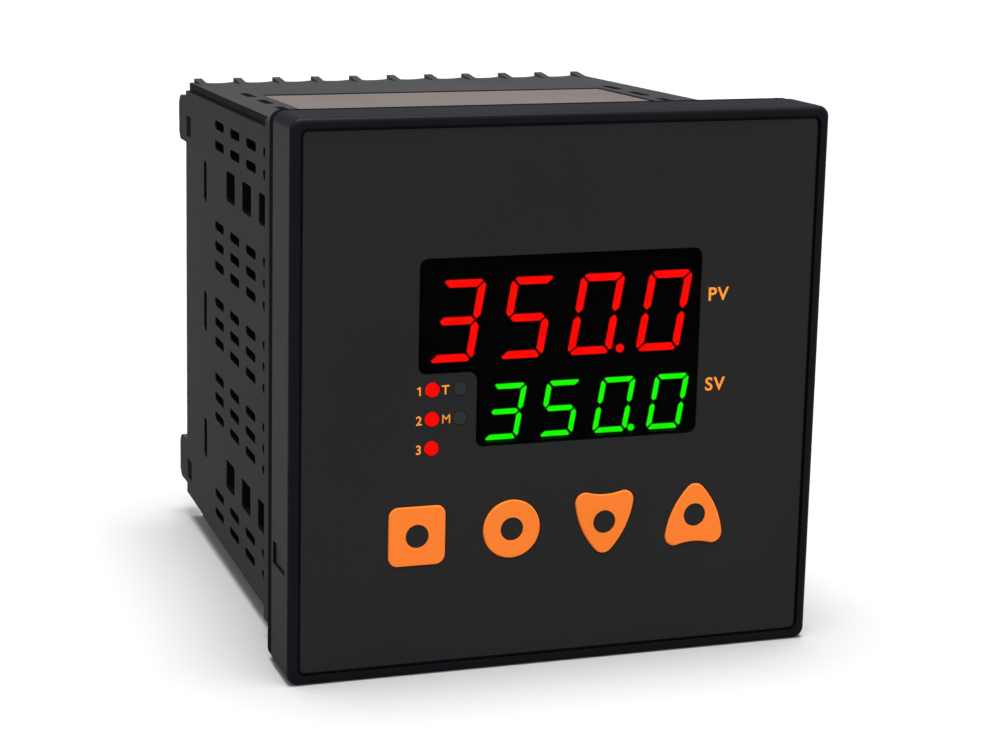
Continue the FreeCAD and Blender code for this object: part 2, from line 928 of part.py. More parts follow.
def underside_cut():
    # The rear stretch of the underside is set in by a small step.
    corners = []
    y0 = case_length - underside_step_from_rear
    for y, rise in ((y0, underside_step), (case_length + 1, underside_step), (case_length + 1, -1), (y0, -1)):
        corners.append(V(-long_cut / 2, y, -height_at(y) / 2 + rise))
    return Part.Face(Part.makePolygon(corners + corners[:1])).extrude(V(long_cut, 0, 0))


def nose_window(level, play):
    y0 = nose_slot_y - nose_slot_width / 2 + play
    y1 = nose_slot_y + nose_slot_width / 2 - play
    half = nose_slot_height / 2 - play
    return block(0, long_cut, y0, y1, level - half, level + half)


def make_case():
    shell = tapered(0.0, case_front, case_length)
    shell = shell.cut([underside_cut()] + edge_rebates())
    collar = along_y(rounded_wire(collar_width, collar_height, collar_corner_radius), case_front, collar_length)
    shell = shell.fuse(collar).cut(rear_scallops()).fuse(finger_ribs())
    hollow = tapered(case_wall, case_front - 1, case_length - case_rear_wall)
    half = block_half_width + block_play
    window = block(-half, half, block_front - 1, case_length + 1,
                   block_bottom - block_play, block_top + block_play)
    seat_half = label_width / 2 + label_play
    seat = slab_on_top(-seat_half, seat_half, label_start - label_play, label_end + label_play,
                       label_seat_depth, 1.0)
    shell = shell.cut([hollow, window, mirrored_z(window), seat] + bezel_latches(latch_play))
    # The two halves are alike, so the right one is opened up and then mirrored.
    right = shell.common(block(0, long_cut, -long_cut, long_cut, -long_cut, long_cut))
    right = right.fuse([make_ear(level) for level in (-ear_z, ear_z)] + board_rails())
    openings = side_vents() + top_vents() + floor_vents() + back_vents()
    openings += [nose_window(level - nose_slot_below_ear, 0.0) for level in (-ear_z, ear_z)]
    right = right.cut(Part.makeCompound(openings))
    left = right.mirror(V(0, 0, 0), V(1, 0, 0))
    return right.fuse(left).removeSplitter()


def make_label():
    above = label_thickness - label_seat_depth
    return slab_on_top(-label_width / 2, label_width / 2, label_start, label_end, label_seat_depth, above)


# Terminals


def screw_passage(x, y0, y1):
    # The square passage for a screw's shank, hidden under its head.
    half = terminal_screw_radius + terminal_screw_play
    return block(x - half, x + half, y0, y1, terminal_screw_z - half, terminal_screw_z + half)


def terminal_block(nose_level):
    # The block in the upper half. Its noses snap into the windows of the case's side walls.
    body = block(-block_half_width, block_half_width, block_front, case_length, block_bottom, block_top)
    tail_half = lug_tail_width / 2 + lug_tail_play
    tail_low = cell_floor + lug_height - lug_thickness - lug_tail_play
    tail_high = cell_floor + lug_height + lug_tail_play
    cuts = []
    for x in terminal_xs():
        cuts.append(block(x - cell_width / 2, x + cell_width / 2, cell_bottom_y, case_length + 1,
                          cell_floor, cell_floor + cell_height))
        cuts.append(screw_passage(x, block_front - 1, cell_bottom_y + 1))
        cuts.append(block(x - tail_half, x + tail_half, block_front - 1, cell_bottom_y + 1,
                          tail_low, tail_high))
    body = body.cut(cuts)
    nose_end = case_rear_width / 2 - case_wall / 2
    nose = nose_window(nose_level, nose_play)
    nose = nose.common(block(block_half_width - overlap, nose_end, block_front, case_length,
                             block_bottom, block_top))
    return body.fuse([nose, nose.mirror(V(0, 0, 0), V(1, 0, 0))]).removeSplitter()


def terminal_lugs():
    plate_rear = cell_bottom_y + lug_thickness
    leg_front = block_front - lug_tail_reach
    leg_end = under_board - lug_below_board
    lug_top = cell_floor + lug_height
    half = lug_width / 2
    tail_half = lug_tail_width / 2
    lugs = []
    for x in terminal_xs():
        plate = block(x - half, x + half, cell_bottom_y, plate_rear, cell_floor, lug_top)
        plate = plate.cut(screw_passage(x, cell_bottom_y - 1, plate_rear + 1))
        tail = block(x - tail_half, x + tail_half, leg_front, cell_bottom_y, lug_top - lug_thickness, lug_top)
        leg = block(x - tail_half, x + tail_half, leg_front, leg_front + lug_thickness, leg_end, lug_top)
        lugs.append(plate.fuse([tail, leg]).removeSplitter())
    return Part.makeCompound(lugs)


def clamp_plates():
    y0 = cell_bottom_y + lug_thickness
    y1 = y0 + clamp_thickness
    half = clamp_size / 2
    plates = []
    for x in terminal_xs():
        plate = block(x - half, x + half, y0, y1, terminal_screw_z - half, terminal_screw_z + half)
        plates.append(plate.cut(screw_passage(x, y0 - 1, y1 + 1)))
    return Part.makeCompound(plates)


def terminal_screws():
    seat = cell_bottom_y + lug_thickness + clamp_thickness
    top = seat + terminal_head
    screws = []
    for x in terminal_xs():
        head = rod(terminal_head_radius, x, terminal_screw_z, seat, top)
        shank = rod(terminal_screw_radius, x, terminal_screw_z, block_front, seat)
        screws.append(head.fuse(shank).removeSplitter())
    return Part.makeCompound(screws)


# Slot boards and what they carry. Both are drawn as the upper one, whose parts hang below it.


def slot_board():
    half = slot_board_width / 2
    board = block(-half, half, slot_board_front, slot_board_back,
                  slot_board_z - board_thickness / 2, slot_board_z + board_thickness / 2)
    leg_front = block_front - lug_tail_reach
    play = lug_tail_play
    holes = [block(x - lug_tail_width / 2 - play, x + lug_tail_width / 2 + play,
                   leg_front - play, leg_front + lug_thickness + play,
                   slot_board_z - board_thickness, slot_board_z + board_thickness)
             for x in terminal_xs()]
    return board.cut(holes)


def board_header():
    return block(-header_width / 2, header_width / 2, display_board_back, display_board_back + header_length,
                 under_board - header_height, under_board)


def make_chip():
    body = block(-chip_size / 2, chip_size / 2, chip_y - chip_size / 2, chip_y + chip_size / 2,
                 under_board - chip_height, under_board)
    return body.makeChamfer(chip_bevel, [edge for edge in body.Edges
                                  if abs(edge.BoundBox.ZMax - (under_board - chip_height)) < 1e-4])


def make_relay(number):
    x = (number - 1) * (relay_width + relay_gap)
    body = block(x - relay_width / 2, x + relay_width / 2, relay_front_y, relay_rear_y,
                 under_board - relay_height, under_board)
    upright = [edge for edge in body.Edges if edge.BoundBox.ZLength > relay_height - 1]
    return body.makeFillet(relay_edge_radius, upright)


def transformer_parts():
    # Two E cores face to face round a bobbin. The middle limb passes through the winding.
    top = under_board
    x0 = transformer_x - transformer_width / 2
    x1 = transformer_x + transformer_width / 2
    y0 = relay_front_y - transformer_from_relays - transformer_length / 2
    y1 = y0 + transformer_length
    limb = transformer_limb / 2
    z_core = top - transformer_height / 2
    core = block(x0, x1, y0, y1, z_core - transformer_limb, z_core + transformer_limb)
    gap_low = y0 + limb
    gap_high = y1 - limb
    windows = [block(x0 + limb, transformer_x - limb, gap_low, gap_high, z_core - long_cut, z_core + long_cut),
               block(transformer_x + limb, x1 - limb, gap_low, gap_high, z_core - long_cut, z_core + long_cut)]
    core = core.cut(windows)
    play = bobbin_play
    bobbin = block(x0 + limb + play, x1 - limb - play, gap_low + play, gap_high - play,
                   top - transformer_height, top)
    hole = block(transformer_x - limb - play, transformer_x + limb + play, y0, y1,
                 z_core - transformer_limb - play, z_core + transformer_limb + play)
    return core, bobbin.cut(hole)


def make_capacitor(radius, height, x, from_relays):
    top = under_board
    y = relay_front_y - from_relays
    body = Part.makeCylinder(radius, height, V(x, y, top - height), V(0, 0, 1))
    rims = [edge for edge in body.Edges if abs(edge.BoundBox.ZMax - (top - height)) < 1e-4]
    return body.makeChamfer(capacitor_bevel, rims)


def write_all():
    save("front_bezel", make_bezel())
    save("panel_gasket", make_gasket())
    save("front_overlay", make_overlay())
    save("display_window", make_window())
    save("upper_digits", upper_digits())
    save("lower_digits", lower_digits())
    save("upper_display_module", upper_module())
    save("lower_display_module", lower_module())
    for name, (x, z) in lamp_places.items():
        save(name, make_lamp(x, z))
    for kind in key_kinds:
        save(kind + "_key", make_key(kind))
        save(kind + "_key_dot", make_dot(kind))
        save(kind + "_switch_plunger", make_plunger(kind))
        save(kind + "_switch", make_switch(kind))
    save("display_board", make_display_board())
    save("display_board_screws", make_board_screws())
    save("case", make_case())
    save("top_label", make_label())
    save("upper_terminal_block", terminal_block(ear_z - nose_slot_below_ear))
    save("lower_terminal_block", mirrored_z(terminal_block(ear_z + nose_slot_below_ear)))
    save("upper_terminal_lugs", terminal_lugs())
    save("lower_terminal_lugs", mirrored_z(terminal_lugs()))
    save("upper_clamp_plates", clamp_plates())
    save("lower_clamp_plates", mirrored_z(clamp_plates()))
    save("upper_terminal_screws", terminal_screws())
    save("lower_terminal_screws", mirrored_z(terminal_screws()))
    save("control_board", slot_board())
    save("power_board", mirrored_z(slot_board()))
    save("control_header", board_header())
    save("power_header", mirrored_z(board_header()))
    save("controller_chip", make_chip())
    for number in range(3):
        save("relay_" + str(number + 1), mirrored_z(make_relay(number)))
    core, bobbin = transformer_parts()
    save("transformer_core", mirrored_z(core))
    save("transformer_winding", mirrored_z(bobbin))
    save("bulk_capacitor", mirrored_z(make_capacitor(bulk_capacitor_radius, bulk_capacitor_height,
                                                     bulk_capacitor_x, bulk_capacitor_from_relays)))
    save("output_capacitor", mirrored_z(make_capacitor(output_capacitor_radius, output_capacitor_height,
                                                       output_capacitor_x, output_capacitor_from_relays)))


write_all()
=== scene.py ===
# %% [markdown]
# # Dressing a panel temperature controller
# The controller comes from the CAD model as a frame of finished, plain pieces. This lesson
# gives each piece its finish, adds the small things that a mould or a printer makes last
# (legends, screw slots), and lights it on a pale floor.
# We load the frame first and keep its box, because nothing that we add may stick out of it.

# %% Load the frame
import math

import bpy
from mathutils import Matrix, Vector


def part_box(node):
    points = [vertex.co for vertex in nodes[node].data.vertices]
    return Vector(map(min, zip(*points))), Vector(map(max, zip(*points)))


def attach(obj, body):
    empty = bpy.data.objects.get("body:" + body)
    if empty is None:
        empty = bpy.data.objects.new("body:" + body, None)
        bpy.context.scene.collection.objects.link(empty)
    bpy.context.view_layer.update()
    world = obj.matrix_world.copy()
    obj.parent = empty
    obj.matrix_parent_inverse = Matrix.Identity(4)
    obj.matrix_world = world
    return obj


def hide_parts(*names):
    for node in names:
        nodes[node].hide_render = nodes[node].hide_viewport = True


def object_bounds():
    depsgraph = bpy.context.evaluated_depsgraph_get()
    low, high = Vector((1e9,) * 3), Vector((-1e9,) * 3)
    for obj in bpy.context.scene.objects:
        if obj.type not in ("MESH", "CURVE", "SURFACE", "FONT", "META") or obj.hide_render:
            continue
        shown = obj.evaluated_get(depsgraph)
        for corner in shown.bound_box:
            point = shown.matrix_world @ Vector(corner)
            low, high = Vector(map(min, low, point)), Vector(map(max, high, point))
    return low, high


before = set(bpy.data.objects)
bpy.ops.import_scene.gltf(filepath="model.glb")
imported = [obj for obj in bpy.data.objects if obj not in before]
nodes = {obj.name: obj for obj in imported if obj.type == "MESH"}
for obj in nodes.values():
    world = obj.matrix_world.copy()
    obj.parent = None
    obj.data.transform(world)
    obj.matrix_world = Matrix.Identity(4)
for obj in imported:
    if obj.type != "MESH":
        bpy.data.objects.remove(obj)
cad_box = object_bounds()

mm = 0.001
print("pieces in the frame:", len(nodes))

# %% [markdown]
# ## The camera
# A product picture of this kind is taken from the upper left with a long lens. The view could
# be turned by hand until it looks right, but the place and the turn below were fitted to the
# corners of the front face and of the case, which is surer. The small shift moves the picture
# on the sensor, as a shift lens does, so the far end of the case shrinks a little faster than
# it would in the middle of an ordinary view.

# %% Place the camera
camera_place = (-138.99, -357.83, 90.43)
camera_turn = (79.2014, -0.5865, -16.2931)
camera_data = bpy.data.cameras.new("portrait_lens")
camera = bpy.data.objects.new("portrait_camera", camera_data)
bpy.context.scene.collection.objects.link(camera)
camera.location = [part * mm for part in camera_place]
camera.rotation_euler = [math.radians(angle) for angle in camera_turn]
camera_data.sensor_width = 36.0
camera_data.lens = 80.37
camera_data.shift_x = 0.15
camera_data.shift_y = -0.10
camera_data.clip_start = 0.01
bpy.context.scene.camera = camera
print("lens in mm:", camera_data.lens)

# %% [markdown]
# ## The floor
# The picture has a plain white ground. A curved backdrop would do, but its bend shows in low
# views, so the floor is one large plane that reaches the horizon. Its paint is only a mid
# grey: the light overhead bleaches it, and a darker paint throws less light up at the sides.

# %% Build the floor
floor_level = cad_box[0].z
bpy.ops.object.select_all(action="DESELECT")
bpy.ops.mesh.primitive_plane_add(size=40.0, location=(0, 0, floor_level))
floor = bpy.context.object
floor.name = "studio_floor"

floor_paint = bpy.data.materials.new("floor_paint")
floor_paint.use_nodes = True
floor_shader = floor_paint.node_tree.nodes["Principled BSDF"]
floor_shader.inputs["Base Color"].default_value = (0.29, 0.29, 0.29, 1.0)
floor_shader.inputs["Roughness"].default_value = 0.9
floor_shader.inputs["Specular IOR Level"].default_value = 0.1
floor.data.materials.append(floor_paint)
print("floor level in mm:", round(floor_level / mm, 2))

# %% [markdown]
# ## White surroundings
# Hardly any shadow shows in the picture, so much of the light comes from all round. An even
# white world would do for matt pieces. But a flat top mirrors what is behind it, and the
# shiny top of the bezel looks dark in the picture, so the world is dimmer behind the object.
# Where the camera sees the world directly it stays white, so a low view has no grey horizon.
# The plain view transform keeps printed orange and lit red as pure as on the object.

# %% Light the surroundings
front_strength = 1.12
rear_strength = 0.33
surroundings = bpy.data.worlds.new("white_surroundings")
bpy.context.scene.world = surroundings
surroundings.use_nodes = True
sky_tree = surroundings.node_tree
sky = sky_tree.nodes["Background"]
sky.inputs["Color"].default_value = (1.0, 1.0, 1.0, 1.0)
direction = sky_tree.nodes.new("ShaderNodeTexCoord")
sky_axes = sky_tree.nodes.new("ShaderNodeSeparateXYZ")
sky_tree.links.new(direction.outputs["Generated"], sky_axes.inputs["Vector"])
falloff = sky_tree.nodes.new("ShaderNodeMapRange")
falloff.inputs["From Min"].default_value = -0.2
falloff.inputs["From Max"].default_value = 0.8
falloff.inputs["To Min"].default_value = front_strength
falloff.inputs["To Max"].default_value = rear_strength
sky_tree.links.new(sky_axes.outputs["Y"], falloff.inputs["Value"])
seen_directly = sky_tree.nodes.new("ShaderNodeLightPath")
brighter = sky_tree.nodes.new("ShaderNodeMath")
brighter.operation = "MAXIMUM"
sky_tree.links.new(falloff.outputs["Result"], brighter.inputs[0])
sky_tree.links.new(seen_directly.outputs["Is Camera Ray"], brighter.inputs[1])
sky_tree.links.new(brighter.outputs["Value"], sky.inputs["Strength"])
bpy.context.scene.view_settings.view_transform = "Standard"
print("strength in front and behind:", front_strength, rear_strength)

# %% [markdown]
# ## Two lamps
# Matt tops are lighter than the sides in the picture. A softbox above would fade along the
# floor, so the light overhead is a sun lamp with a broad disc, which falls evenly and has
# soft shadows too. A small low light stands behind the object, inside its outline seen from
# the front, so it opens up the terminals without putting a shine on the top or the sides.

# %% Hang the lamps
rear_distance = 0.8
overhead_data = bpy.data.lights.new("overhead_light", "SUN")
overhead_data.energy = 9.0
overhead_data.angle = math.radians(32)
overhead = bpy.data.objects.new("overhead_light", overhead_data)
bpy.context.scene.collection.objects.link(overhead)

rear_data = bpy.data.lights.new("rear_light", "AREA")
rear_data.shape = "RECTANGLE"
rear_data.size = 0.08
rear_data.size_y = 0.07
rear_data.energy = 1.5
rear = bpy.data.objects.new("rear_light", rear_data)
bpy.context.scene.collection.objects.link(rear)
rear.location = (0, rear_distance, floor_level + rear_data.size_y / 2)
rear.rotation_euler = (math.radians(-90), 0, 0)
rear.visible_camera = False
print("lamps:", overhead.name, rear.name)

# %% [markdown]
# ## Small helpers
# Every operator acts on what is selected, so each new piece starts from an empty selection.
# A finished piece keeps its place in its mesh and its object stays at the origin, which is
# what lets a pattern on Object coordinates sit still on it. Materials need many nodes and
# links, so making each of them is one short line too.

# %% Helpers for pieces and nodes


def start_clean():
    if bpy.context.object is not None and bpy.context.object.mode != "OBJECT":
        bpy.ops.object.mode_set(mode="OBJECT")
    bpy.ops.object.select_all(action="DESELECT")


def activate(piece):
    # Makes the piece the only one selected, and the active one.
    start_clean()
    piece.select_set(True)
    bpy.context.view_layer.objects.active = piece


def settle(piece, name, body, material):
    # Moves the place into the mesh, then names the piece and lets it ride on its body.
    activate(piece)
    bpy.ops.object.transform_apply(location=True, rotation=True, scale=True)
    piece.name = name
    piece.data.name = name
    piece.data.materials.clear()
    piece.data.materials.append(material)
    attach(piece, body)
    return piece


def add_node(tree, kind, **settings):
    node = tree.nodes.new(kind)
    for key, value in settings.items():
        setattr(node, key, value)
    return node


def feed(tree, source, target):
    tree.links.new(source, target)


print("helpers ready, with", len(nodes), "pieces to dress")

# %% [markdown]
# ## Shared effects as node groups
# Most finishes need the same few steps: a noise, a stretch of its values, a blend of two
# colours and a little arithmetic, so each has a helper. An effect that more than one material
# uses could be built again in each, but then a change would have to be made in all of them.
# So it is built once, as a node group with named inputs and outputs. Groups here give out
# only colours, values and heights. The shader stays in each material.

# %% Helpers for groups


def new_group(name, inputs, outputs):
    tree = bpy.data.node_groups.new(name, "ShaderNodeTree")
    for label, kind in inputs:
        tree.interface.new_socket(label, in_out="INPUT", socket_type=kind)
    for label, kind in outputs:
        tree.interface.new_socket(label, in_out="OUTPUT", socket_type=kind)
    start = add_node(tree, "NodeGroupInput")
    end = add_node(tree, "NodeGroupOutput")
    return tree, start.outputs, end.inputs


def fill(tree, socket, value):
    # Links a socket to another one, or sets it to a plain value.
    if isinstance(value, bpy.types.NodeSocket):
        feed(tree, value, socket)
    else:
        socket.default_value = value


def noise(tree, vector, scale, detail):
    node = add_node(tree, "ShaderNodeTexNoise")
    fill(tree, node.inputs["Scale"], scale)
    node.inputs["Detail"].default_value = detail
    feed(tree, vector, node.inputs["Vector"])
    return node.outputs["Fac"]


def spread(tree, value, low, high, to_low, to_high):
    # Stretches the values between low and high over a new range.
    node = add_node(tree, "ShaderNodeMapRange")
    node.inputs["From Min"].default_value = low
    node.inputs["From Max"].default_value = high
    node.inputs["To Min"].default_value = to_low
    node.inputs["To Max"].default_value = to_high
    feed(tree, value, node.inputs["Value"])
    return node.outputs["Result"]


def blend_colours(tree, factor, first, second):
    node = add_node(tree, "ShaderNodeMix", data_type="RGBA")
    feed(tree, factor, node.inputs["Factor"])
    fill(tree, node.inputs["A"], first)
    fill(tree, node.inputs["B"], second)
    return node.outputs["Result"]


def arithmetic(tree, operation, *values):
    node = add_node(tree, "ShaderNodeMath", operation=operation)
    for socket, value in zip(node.inputs, values):
        fill(tree, socket, value)
    return node.outputs["Value"]


print("group helpers ready")

# %% [markdown]
# ## Moulded skin
# A moulded plastic skin is never one even colour: the mould's fine spark texture scatters the
# light, and the colour drifts a little over a hand's width. A picture of plastic could show
# that, but it would stretch on the sides. Two noises in the piece's own space do it evenly:
# the broad one drifts the colour, and the fine one varies roughness and height.

# %% Group: moulded skin
skin_group, skin_in, skin_out = new_group(
    "Moulded Skin",
    [("Place", "NodeSocketVector"), ("Colour", "NodeSocketColor"), ("Drift", "NodeSocketColor"),
     ("Grain", "NodeSocketFloat"), ("Roughness", "NodeSocketFloat")],
    [("Colour", "NodeSocketColor"), ("Roughness", "NodeSocketFloat"), ("Height", "NodeSocketFloat")])
broad = noise(skin_group, skin_in["Place"], 38.0, 3.0)
drift = spread(skin_group, broad, 0.3, 0.7, 0.0, 1.0)
skin_colour = blend_colours(skin_group, drift, skin_in["Colour"], skin_in["Drift"])
feed(skin_group, skin_colour, skin_out["Colour"])
spark = noise(skin_group, skin_in["Place"], skin_in["Grain"], 2.0)
spark_rough = spread(skin_group, spark, 0.3, 0.7, -0.05, 0.05)
skin_rough = arithmetic(skin_group, "ADD", skin_in["Roughness"], spark_rough)
feed(skin_group, skin_rough, skin_out["Roughness"])
feed(skin_group, spark, skin_out["Height"])
print("group:", skin_group.name)

# %% [markdown]
# ## Drawn metal
# Metal that was drawn or punched has fine lines along one direction. The shader's own
# anisotropy could stretch the highlight, but it draws no lines. Noise that is squeezed on two
# axes and stretched on the third gives the lines, and the same lines vary roughness and
# height together, as real ones do. A broader noise stains the colour.

# %% Group: drawn metal
metal_group, metal_in, metal_out = new_group(
    "Drawn Metal",
    [("Place", "NodeSocketVector"), ("Colour", "NodeSocketColor"), ("Stain", "NodeSocketColor"),
     ("Roughness", "NodeSocketFloat")],
    [("Colour", "NodeSocketColor"), ("Roughness", "NodeSocketFloat"), ("Height", "NodeSocketFloat")])
squeeze = add_node(metal_group, "ShaderNodeMapping")
squeeze.inputs["Scale"].default_value = (4000.0, 4000.0, 250.0)
feed(metal_group, metal_in["Place"], squeeze.inputs["Vector"])
lines = noise(metal_group, squeeze.outputs["Vector"], 1.0, 2.0)
stain = spread(metal_group, noise(metal_group, metal_in["Place"], 220.0, 3.0), 0.45, 0.7, 0.0, 1.0)
metal_colour = blend_colours(metal_group, stain, metal_in["Colour"], metal_in["Stain"])
feed(metal_group, metal_colour, metal_out["Colour"])
line_rough = spread(metal_group, lines, 0.3, 0.7, -0.08, 0.12)
metal_rough = arithmetic(metal_group, "ADD", metal_in["Roughness"], line_rough)
feed(metal_group, metal_rough, metal_out["Roughness"])
feed(metal_group, lines, metal_out["Height"])
print("group:", metal_group.name)

# %% [markdown]
# ## Recess shade mask
# Steps, notches and the rims of slots are darker than open faces, because little light
# reaches them, so this darkening is painted shade. A second material slot could darken such
# faces, but the frame's meshes stay as they are. So a group that is given a box in the piece's
# own place answers with a mask for the painted shade: 1 inside the box, 0 outside, with a
# slightly ragged border. It folds left onto right first, since the housing is the same on both
# sides. Cases with a draft lean inwards, so the box may lean with them.

# %% Group: recess mask
ragged_edge = 0.04 * mm
recess_group, recess_in, recess_out = new_group(
    "Recess Shade Mask",
    [("Place", "NodeSocketVector"), ("Lean", "NodeSocketFloat"), ("Low", "NodeSocketVector"),
     ("High", "NodeSocketVector")],
    [("Mask", "NodeSocketFloat")])


def axes_of(label):
    node = add_node(recess_group, "ShaderNodeSeparateXYZ")
    feed(recess_group, recess_in[label], node.inputs["Vector"])
    return node.outputs


place, low_corner, high_corner = [axes_of(label) for label in ("Place", "Low", "High")]
lean = arithmetic(recess_group, "MULTIPLY", place["Y"], recess_in["Lean"])
edge_noise = noise(recess_group, recess_in["Place"], 900.0, 2.0)
ragged = spread(recess_group, edge_noise, 0.3, 0.7, -ragged_edge, ragged_edge)
from_middle = arithmetic(recess_group, "ABSOLUTE", place["X"])
folded = {
    "X": arithmetic(recess_group, "ADD", from_middle, lean),
    "Y": place["Y"],
    "Z": arithmetic(recess_group, "ADD", place["Z"], lean),
}
inside = None
for axis, value in folded.items():
    value = arithmetic(recess_group, "ADD", value, ragged)
    for operation, corner in (("GREATER_THAN", low_corner), ("LESS_THAN", high_corner)):
        part = arithmetic(recess_group, operation, value, corner[axis])
        inside = part if inside is None else arithmetic(recess_group, "MULTIPLY", inside, part)
feed(recess_group, inside, recess_out["Mask"])
print("group:", recess_group.name)

# %% [markdown]
# ## Making a material from a group
# Each material has its own Principled shader. The group feeds colour and roughness, and a
# Bump node turns the height into a normal. Numbers that are the same all over, such as the
# specular level, are set on the shader's sockets themselves. So is the refractive index, here
# called bend: a lower one keeps a matt piece dark where we look along its face. The numbers
# could go through the group too, but the export reads only those on the shader.

# %% Helpers for materials


def shade(value):
    # A grey or a colour as four numbers.
    return tuple(value) + (1.0,) if hasattr(value, "__len__") else (value, value, value, 1.0)


def new_material(name, group, settings, bump, specular=0.5, metallic=0.0, bend=1.5):
    material = bpy.data.materials.new(name)
    material.use_nodes = True
    tree = material.node_tree
    shader = tree.nodes["Principled BSDF"]
    shader.inputs["Specular IOR Level"].default_value = specular
    shader.inputs["IOR"].default_value = bend
    shader.inputs["Metallic"].default_value = metallic
    where = add_node(tree, "ShaderNodeTexCoord").outputs["Object"]
    effect = add_node(tree, "ShaderNodeGroup", node_tree=group)
    feed(tree, where, effect.inputs["Place"])
    for label, value in settings.items():
        effect.inputs[label].default_value = value
    feed(tree, effect.outputs["Colour"], shader.inputs["Base Color"])
    feed(tree, effect.outputs["Roughness"], shader.inputs["Roughness"])
    relief = add_node(tree, "ShaderNodeBump")
    relief.inputs["Strength"].default_value = 0.3
    relief.inputs["Distance"].default_value = bump
    feed(tree, effect.outputs["Height"], relief.inputs["Height"])
    feed(tree, relief.outputs["Normal"], shader.inputs["Normal"])
    return material


def moulded(name, colour, drift, grain=2600.0, roughness=0.55, bump=0.00003, specular=0.3, bend=1.5):
    settings = {"Colour": shade(colour), "Drift": shade(drift), "Grain": grain, "Roughness": roughness}
    return new_material(name, skin_group, settings, bump, specular, bend=bend)


def drawn(name, colour, stain, roughness=0.3, bump=0.00001):
    settings = {"Colour": shade(colour), "Stain": shade(stain), "Roughness": roughness}
    return new_material(name, metal_group, settings, bump, metallic=1.0)


print("material helpers ready, groups:", len(bpy.data.node_groups))

# %% [markdown]
# A recess gets painted shade from a blend between the group's colour and the shader. A piece of
# the frame could be copied and painted, but it is dressed through its own material slot, so
# its mesh and its place stay untouched.

# %% Helpers for recesses and for dressing


def object_place(tree):
    return tree.nodes["Texture Coordinate"].outputs["Object"]


def paint_recess_shade(material, low, high, tone, lean=0.0):
    # Paints a shade tone between the group's colour and the shader, inside a box given in mm.
    tree = material.node_tree
    shader = tree.nodes["Principled BSDF"]
    was = shader.inputs["Base Color"].links[0].from_socket
    mask = add_node(tree, "ShaderNodeGroup", node_tree=recess_group)
    feed(tree, object_place(tree), mask.inputs["Place"])
    mask.inputs["Lean"].default_value = lean
    mask.inputs["Low"].default_value = [value * mm for value in low]
    mask.inputs["High"].default_value = [value * mm for value in high]
    shaded_colour = blend_colours(tree, mask.outputs["Mask"], was, shade(tone))
    feed(tree, shaded_colour, shader.inputs["Base Color"])


def dress(material, *names):
    for name in names:
        piece = nodes[name]
        if piece.material_slots:
            piece.material_slots[0].material = material
        else:
            piece.data.materials.append(material)


print("dressing helpers ready")

# %% [markdown]
# ## Plastics of the housing
# Bezel and case are both black moulded plastic, but not the same: the bezel is a finer,
# slightly blue black, and the case a rougher, neutral one. One black for both would be
# simpler, but the difference shows where the light grazes them, so each has its own.

# %% Bezel, case, gasket and blocks
bezel_black = moulded("bezel_black", (0.0030, 0.0032, 0.0050), (0.0038, 0.0040, 0.0060),
                      roughness=0.5, specular=0.05)
case_black = moulded("case_black", (0.0220, 0.0220, 0.0232), (0.0250, 0.0250, 0.0262), grain=2000.0,
                     roughness=0.6, specular=0.3, bend=1.09)
gasket_rubber = moulded("gasket_rubber", 0.0015, 0.0025, grain=1500.0, roughness=0.9, specular=0.02)
block_black = moulded("block_black", (0.014, 0.014, 0.0145), (0.018, 0.018, 0.0185), roughness=0.5)
dress(bezel_black, "front_bezel")
dress(case_black, "case")
dress(gasket_rubber, "panel_gasket")
dress(block_black, "upper_terminal_block", "lower_terminal_block")
print("plastics:", bezel_black.name, case_black.name, gasket_rubber.name, block_black.name)

# %% [markdown]
# Four places of the housing lie in shade on the real object, because little light reaches them.
# The step along the upper edges of the case is nearly black, and so is all that lies inside its
# walls, which is why the vents look like black slots. The noses of the terminal blocks, which
# fill the small windows near the ears, are as dark. The release notch near the foot of the
# bezel's side has a warm, olive tone. The light alone leaves all four too pale, so each gets
# painted shade inside a box, with its low and its high corner in millimetres.

# %% Paint shade on the steps, the inside, the noses and the release notch
case_side = 44.8
case_lean = 1.3 / 86.0
step_low = (case_side - 0.86, 11.6, case_side - 1.62)
step_high = (case_side + 0.1, 90.0, case_side + 0.1)
inside_low = (-1.0, -7.0, 2.0 - case_side)
inside_high = (case_side - 0.15, 85.5, case_side - 0.6)
# painted shade on the step along the upper edges and on the inside of the case
paint_recess_shade(case_black, step_low, step_high, (0.0020, 0.0024, 0.0028), lean=case_lean)
paint_recess_shade(case_black, inside_low, inside_high, (0.0040, 0.0040, 0.0040), lean=case_lean)
# painted shade on the noses of the terminal blocks
paint_recess_shade(block_black, (41.5, 80.0, -46.0), (44.0, 93.0, 46.0), (0.0015, 0.0015, 0.0016))
# painted shade in the release notch, warm and olive
paint_recess_shade(bezel_black, (47.0, -11.9, -29.4), (48.1, -3.9, -25.2), (0.0050, 0.0050, 0.0022))
print("the case leans in by", round(math.degrees(math.atan(case_lean)), 2), "degrees")

# %% [markdown]
# ## The printed front
# The overlay is a printed film with a velvet texture: very fine, very flat, and with next
# to no mirror image. The window in it is a dark clear filter, which hides all but the lit
# bars. Transmission would make it clear too, but so thin a filter hardly bends the light, so
# a lower alpha is enough and renders faster.

# %% Overlay and window
overlay_velvet = moulded("overlay_velvet", 0.0128, 0.0142, grain=5200.0, roughness=0.7, bump=0.00001,
                         specular=0.06)
dress(overlay_velvet, "front_overlay")

window_tint = moulded("window_tint", 0.0004, 0.0006, grain=300.0, roughness=0.2, bump=0.0000005,
                      specular=0.03, bend=1.3)
window_shader = window_tint.node_tree.nodes["Principled BSDF"]
window_shader.inputs["Alpha"].default_value = 0.6
dress(window_tint, "display_window")
print("front:", overlay_velvet.name, window_tint.name)

